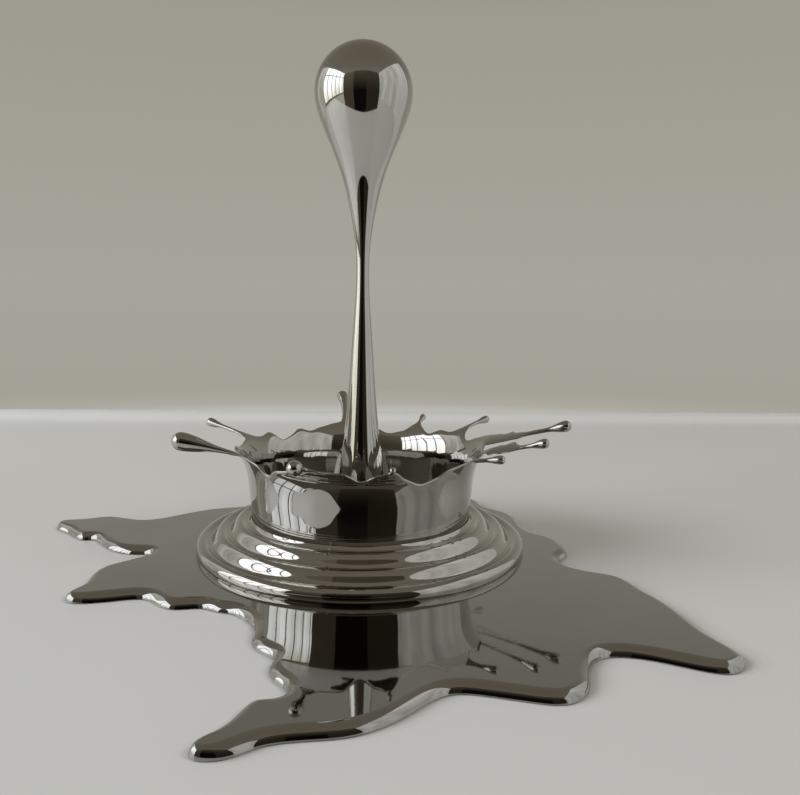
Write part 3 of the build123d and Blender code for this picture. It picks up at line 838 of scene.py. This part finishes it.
# Cards that only the mirror surfaces see: the dim room in front of the desk, a pale wall to the right
# and a tall window with a curtain to the left. Dim cards: left and right edge, lower and upper colour.
DIM_Y, DIM_LOW, DIM_HIGH = -0.56, -0.40, 0.64
DIM_CARDS = [
    ("dim_left", -0.60, -0.24, (0.075, 0.062, 0.044), (0.16, 0.14, 0.105)),
    ("dim_middle", -0.24, 0.06, (0.006, 0.005, 0.004), (0.10, 0.085, 0.062)),
    ("dim_right", 0.06, 0.40, (0.032, 0.026, 0.018), (0.085, 0.072, 0.052)),
]
PALE_X, PALE_NEAR, PALE_FAR, PALE_LOW, PALE_HIGH = 0.72, -1.03, 0.42, -0.02, 0.95
WINDOW_X, WINDOW_NEAR, WINDOW_FAR, CURTAIN_FAR = -1.35, -1.45, 0.36, 1.25
WINDOW_LOW, WINDOW_HIGH = 0.0, 1.25
PANE_EDGES = (-1.42, -1.14, -0.86, -0.58, -0.30, 0.02, 0.34)
PANE_ROWS = ((0.04, 0.86), (0.86, 1.22))
PANE_BAR, PANE_STEP = 0.018, 0.01  # half a bar's width, and how far a pane stands before its frame

# Backdrop: colours between the directions whose heights are SKY_LOW and SKY_HIGH
SKY_LOW, SKY_HIGH = -0.2, 1.0
SKY_TONES = [
    (0.0, (0.54, 0.53, 0.48)), (0.036, (0.54, 0.53, 0.48)), (0.048, (0.41, 0.395, 0.345)),
    (0.062, (0.37, 0.355, 0.31)), (0.17, (0.39, 0.375, 0.33)), (0.42, (0.34, 0.325, 0.28)),
    (0.52, (0.27, 0.26, 0.23)), (0.74, (0.22, 0.20, 0.165)), (1.0, (0.20, 0.172, 0.13)),
]

CAMERA_PLACE = (0, -0.4344, 0.146)
PITCH, YAW, ROLL = radians(7.85), radians(2.75), radians(0.72)
LENS, SENSOR = 36, 36  # millimetres


def desk_finish():
    """A plain satin surface, its colour faintly clouded."""
    material, tree, shader, place = new_material("pale_desk")
    cloud = noise(tree, place, 3.0)
    tree.links.new(tint(tree, cloud, (0.67, 0.68, 0.68), (0.71, 0.72, 0.72)), shader.inputs["Base Color"])
    shader.inputs["Roughness"].default_value = 0.30
    shader.inputs["Specular IOR Level"].default_value = 0.35
    return material


def build_desk():
    """A level sheet whose far edge turns up."""
    lip = [
        (DESK_BACK + DESK_LIP_R * sin(turn), DESK_LIP_R * (1 - cos(turn)))
        for turn in np.linspace(0, pi / 2, 9)
    ]
    section = [(DESK_FRONT, 0.0), *lip]
    points = [(x, y, z - DESK_GAP) for y, z in section for x in (-DESK_SIDE, DESK_SIDE)]
    faces = [(2 * k, 2 * k + 1, 2 * k + 3, 2 * k + 2) for k in range(len(section) - 1)]
    mesh = bpy.data.meshes.new("desk")
    mesh.from_pydata(points, [], faces)
    mesh.shade_smooth()
    mesh.materials.append(desk_finish())
    floor = link("desk", mesh)


def glow(name, low, high, bottom, top, cloudy=0.0):
    """A surface that gives light, one colour at a height of bottom and another at top."""
    material = bpy.data.materials.new(name)
    material.use_nodes = True
    tree = material.node_tree
    tree.nodes.clear()
    place = add(tree, "ShaderNodeTexCoord").outputs["Object"]
    split = add(tree, "ShaderNodeSeparateXYZ")
    tree.links.new(place, split.inputs["Vector"])
    colour = tint(tree, spread(tree, split.outputs["Z"], 0, 1, bottom, top), low, high)
    emission = add(tree, "ShaderNodeEmission")
    tree.links.new(colour, emission.inputs["Color"])
    if cloudy:
        stretch = add(tree, "ShaderNodeMapping", Scale=(1.0, 1.0, 0.25))
        tree.links.new(place, stretch.inputs["Vector"])
        cloud = noise(tree, stretch.outputs["Vector"], 5.0, 2.0)
        tree.links.new(spread(tree, cloud, 1 - cloudy, 1 + cloudy), emission.inputs["Strength"])
    out = add(tree, "ShaderNodeOutputMaterial")
    tree.links.new(emission.outputs["Emission"], out.inputs["Surface"])
    return material


def card(name, edges, low, high, material):
    """An upright card between two edges, each (x, y), that only mirror surfaces see."""
    (x0, y0), (x1, y1) = edges
    mesh = bpy.data.meshes.new(name)
    mesh.from_pydata([(x0, y0, low), (x1, y1, low), (x1, y1, high), (x0, y0, high)], [], [(0, 1, 2, 3)])
    mesh.materials.append(material)
    piece = link(name, mesh)
    piece.visible_camera = piece.visible_diffuse = piece.visible_shadow = False


def build_room():
    for name, left, right, dark, light in DIM_CARDS:
        material = glow(name, dark, light, 0.20, 0.62)
        card(name, [(left, DIM_Y), (right, DIM_Y)], DIM_LOW, DIM_HIGH, material)
    pale = glow("pale_card", (0.56, 0.555, 0.53), (0.72, 0.715, 0.69), 0.0, 0.9, 0.25)
    card("pale_card", [(PALE_X, PALE_NEAR), (PALE_X, PALE_FAR)], PALE_LOW, PALE_HIGH, pale)
    frame_glow = glow("window_frame", (0.20, 0.18, 0.14), (0.34, 0.32, 0.28), 0.0, 1.2)
    pane_glow = glow("window_pane", (1.45, 1.44, 1.22), (2.35, 2.45, 2.6), 0.05, 0.50, 0.25)
    curtain_glow = glow("curtain", (0.58, 0.56, 0.52), (0.72, 0.70, 0.65), 0.0, 1.2, 0.25)
    window = [(WINDOW_X, WINDOW_NEAR), (WINDOW_X, WINDOW_FAR)]
    card("window_frame", window, WINDOW_LOW, WINDOW_HIGH, frame_glow)
    curtain = [(WINDOW_X, WINDOW_FAR), (WINDOW_X, CURTAIN_FAR)]
    card("curtain", curtain, WINDOW_LOW, WINDOW_HIGH, curtain_glow)
    pane_x = WINDOW_X + PANE_STEP
    for near, far in zip(PANE_EDGES, PANE_EDGES[1:]):
        for low, high in PANE_ROWS:
            pane = [(pane_x, near + PANE_BAR), (pane_x, far - PANE_BAR)]
            card(f"pane_{near}_{low}", pane, low + PANE_BAR, high - PANE_BAR, pane_glow)


def build_backdrop():
    world = bpy.data.worlds.new("studio")
    bpy.context.scene.world = world
    world.use_nodes = True
    tree = world.node_tree
    split = add(tree, "ShaderNodeSeparateXYZ")
    tree.links.new(add(tree, "ShaderNodeTexCoord").outputs["Generated"], split.inputs["Vector"])
    ramp = add(tree, "ShaderNodeValToRGB")
    tree.links.new(spread(tree, split.outputs["Z"], 0, 1, SKY_LOW, SKY_HIGH), ramp.inputs["Fac"])
    elements = ramp.color_ramp.elements
    while len(elements) < len(SKY_TONES):
        elements.new(0.5)
    for element, (position, colour) in zip(elements, SKY_TONES):
        element.position = position
        element.color = (*colour, 1)
    tree.links.new(ramp.outputs["Color"], tree.nodes["Background"].inputs["Color"])


def soft_light(name, place, size, power, colour):
    """A rectangular lamp that faces the origin and isn't mirrored itself."""
    light = bpy.data.lights.new(name, "AREA")
    light.shape = "RECTANGLE"
    light.size, light.size_y = size
    light.energy = power
    light.color = colour
    lamp = link(name, light)
    lamp.location = place
    lamp.rotation_euler = (-Vector(place)).to_track_quat("-Z", "Y").to_euler()
    lamp.visible_camera = lamp.visible_glossy = False


def build_camera():
    ahead = Vector((sin(YAW) * cos(PITCH), cos(YAW) * cos(PITCH), -sin(PITCH)))
    level = Vector((cos(YAW), -sin(YAW), 0))
    upward = level.cross(ahead)
    right = level * cos(ROLL) + upward * sin(ROLL)
    up = upward * cos(ROLL) - level * sin(ROLL)
    data = bpy.data.cameras.new("camera")
    data.lens, data.sensor_width = LENS, SENSOR
    data.clip_start = 0.02
    camera = link("camera", data)
    turn = Matrix((right, up, -ahead)).transposed().to_4x4()
    camera.matrix_world = Matrix.Translation(CAMERA_PLACE) @ turn
    bpy.context.scene.camera = camera


build_desk()
build_room()
build_backdrop()
soft_light("key_left", (-2.7, -0.5, 1.35), (2.2, 1.4), 84, (0.98, 0.99, 1.0))
soft_light("fill_right", (2.0, -0.8, 1.8), (1.2, 1.0), 18, (1.0, 0.99, 0.98))
build_camera()
bpy.context.scene.view_settings.view_transform = "Standard"
